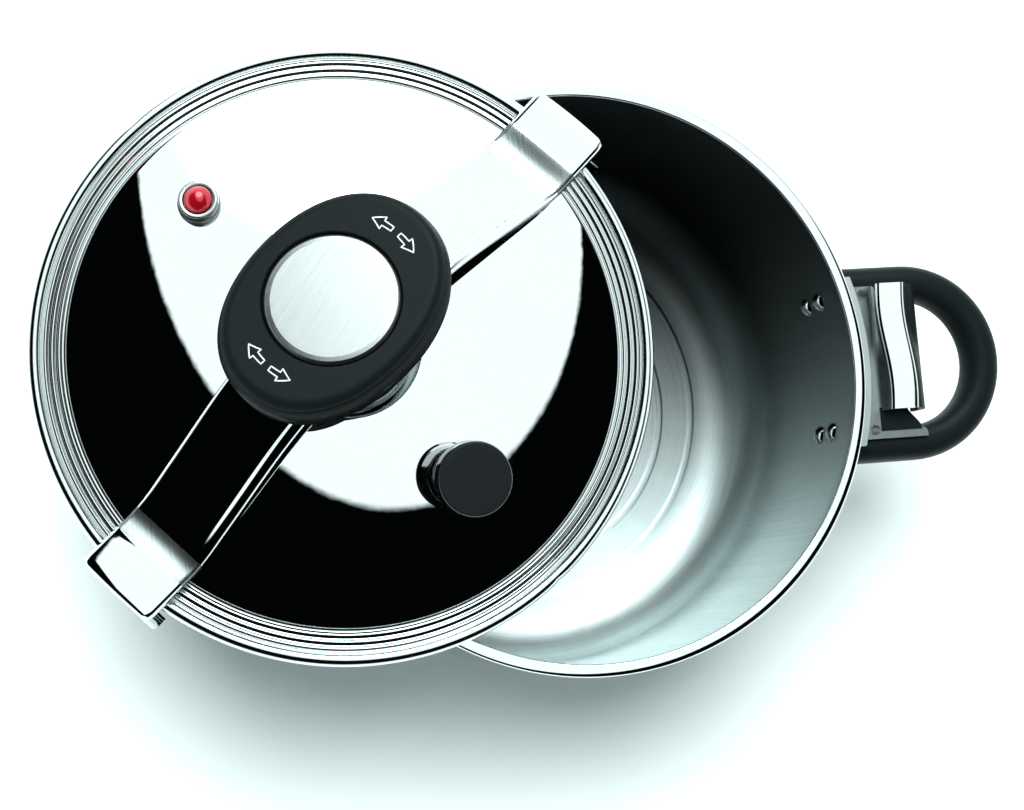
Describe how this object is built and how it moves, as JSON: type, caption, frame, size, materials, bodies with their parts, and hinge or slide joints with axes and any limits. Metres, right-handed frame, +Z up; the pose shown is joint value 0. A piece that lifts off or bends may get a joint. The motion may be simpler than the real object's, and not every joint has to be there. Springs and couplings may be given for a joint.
{
  "type": "stovetop pressure cooker",
  "caption": "Steel stovetop pressure cooker: pot with two D handles, domed lid lying askew, and a screw-down bridge with an oval knob that hooks under catch plates.",
  "frame": {"origin": "centre of the base, on the surface that the pot stands on", "axes": "+Z up along the pot's axis, +X towards the right handle, +Y away from the cook"},
  "size_m": [0.3917, 0.2454, 0.2051],
  "materials": {
    "polished_steel": "mirror polished",
    "brushed_steel": "satin, brushed round",
    "aluminium": "plain",
    "black_phenolic": "fine matt grain",
    "black_gloss": "gloss side, satin top",
    "red_gloss": "clear gloss over red",
    "silicone": "matt",
    "brass": "turned"
  },
  "bodies": {
    "pot": {"pot_shell": "brushed_steel", "base_disc": "aluminium", "base_cap": "brushed_steel", "catch_right": "brushed_steel", "catch_left": "brushed_steel", "bracket_right": "polished_steel", "bracket_left": "polished_steel", "wall_rivets": "polished_steel", "handle_right": "black_phenolic", "handle_left": "black_phenolic", "handle_screws": "polished_steel"},
    "ball": {"thrust_ball": "polished_steel"},
    "lid": {"lid_shell": "polished_steel", "lid_gasket": "silicone", "thrust_cup": "brushed_steel", "steam_pipe": "polished_steel", "steam_pipe_seal": "silicone", "steam_pipe_nut": "brushed_steel", "indicator_housing": "polished_steel", "indicator_seal": "silicone", "indicator_nut": "brushed_steel"},
    "foot": {"swivel_foot": "brushed_steel"},
    "seat": {"swivel_cap": "brushed_steel"},
    "bridge": {"bridge": "polished_steel", "bridge_nut": "brushed_steel"},
    "knob": {"spindle": "brushed_steel", "knob_insert": "brass", "knob_grip": "black_phenolic", "knob_screw": "brushed_steel", "knob_disc": "polished_steel"},
    "weight": {"weight_cover": "black_gloss", "weight_core": "brushed_steel"},
    "indicator": {"indicator_pin": "red_gloss", "indicator_clip": "brushed_steel"}
  },
  "joints": [
    {"name": "lid_swing", "type": "hinge", "parent": "pot", "child": "ball", "pos_m": [-0.04728, 0.00707, 0.1416], "axis": [0.1478, 0.989, 0], "range_deg": [0, 175.75]},
    {"name": "lid_level", "type": "hinge", "parent": "ball", "child": "lid", "pos_m": [-0.09442, 0.01411, 0.14514], "axis": [0.1478, 0.989, 0], "range_deg": [-170.76, 0]},
    {"name": "bridge_turn", "type": "hinge", "parent": "lid", "child": "foot", "pos_m": [-0.09442, 0.01411, 0.14514], "axis": [0.0862, -0.0129, -0.9962], "range_deg": [0, 42]},
    {"name": "bridge_rock", "type": "hinge", "parent": "foot", "child": "seat", "pos_m": [-0.09442, 0.01411, 0.14514], "axis": [0.7408, 0.6695, 0.0554], "range_deg": [0, 15]},
    {"name": "bridge_rise", "type": "slide", "parent": "seat", "child": "bridge", "axis": [-0.2557, 0.2047, 0.9448], "range_m": [0, 0.0025]},
    {"name": "knob_turn", "type": "hinge", "parent": "seat", "child": "knob", "pos_m": [-0.09442, 0.01411, 0.14514], "axis": [0.2557, -0.2047, -0.9448], "range_deg": [0, 300]},
    {"name": "weight_lift", "type": "slide", "parent": "lid", "child": "weight", "axis": [0.004, -0.1106, 0.9939], "range_m": [0, 0.004]},
    {"name": "indicator_rise", "type": "slide", "parent": "lid", "child": "indicator", "axis": [-0.2067, 0.1516, 0.9666], "range_m": [0, 0.0026]}
  ],
  "couplings": [
    {"joint": "lid_level", "follows": "lid_swing", "ratio": -0.97155},
    {"joint": "bridge_rise", "follows": "knob_turn", "m_per_rad": 0.00047746}
  ]
}
